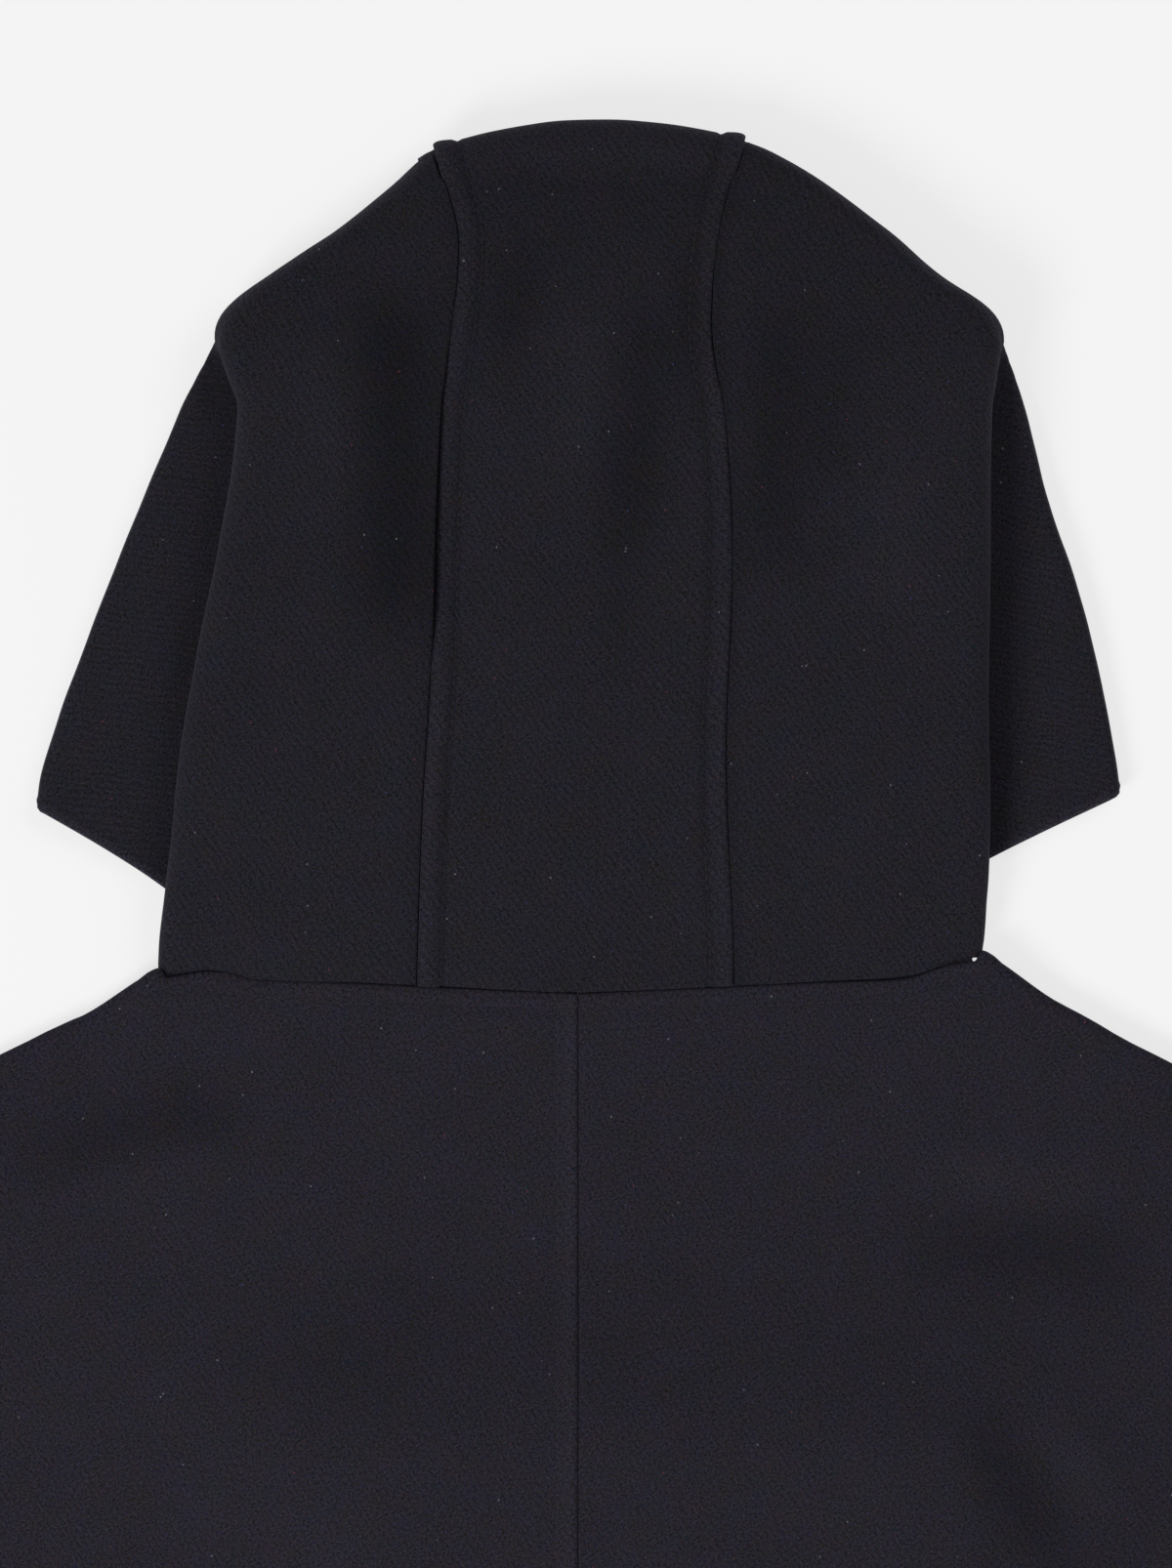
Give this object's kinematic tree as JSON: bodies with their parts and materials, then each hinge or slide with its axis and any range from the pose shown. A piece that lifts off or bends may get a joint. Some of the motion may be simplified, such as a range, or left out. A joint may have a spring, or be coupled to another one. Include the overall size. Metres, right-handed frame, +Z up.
{
  "type": "duffle coat",
  "caption": "Hooded duffle coat of heavy dark wool, laid flat on its front with the hood spread above the neck and its toggles fastened underneath.",
  "frame": {"origin": "middle of the coat's box, on the surface it lies on", "axes": "+X across the coat towards the wearer's right side, +Y along it from hem to hood, +Z up from the surface"},
  "size_m": [1.3292, 1.2014, 0.0283],
  "materials": {
    "wool": "matt brushed wool twill",
    "leather": "semi-matt grained leather",
    "wood": "polished dark wood",
    "cord": "matt braided cord"
  },
  "bodies": {
    "root": {"back_left": "wool", "back_right": "wool", "front_left": "wool", "front_right": "wool", "sleeve_left": "wool", "sleeve_right": "wool", "hood_centre": "wool", "hood_side_left": "wool", "hood_side_right": "wool", "patch_left_1": "leather", "patch_right_1": "leather", "toggle_1": "wood", "loop_1": "cord", "cord_1_a": "cord", "cord_1_b": "cord", "patch_left_2": "leather", "patch_right_2": "leather", "toggle_2": "wood", "loop_2": "cord", "cord_2_a": "cord", "cord_2_b": "cord", "patch_left_3": "leather", "patch_right_3": "leather", "toggle_3": "wood", "loop_3": "cord", "cord_3_a": "cord", "cord_3_b": "cord"}
  },
  "joints": []
}
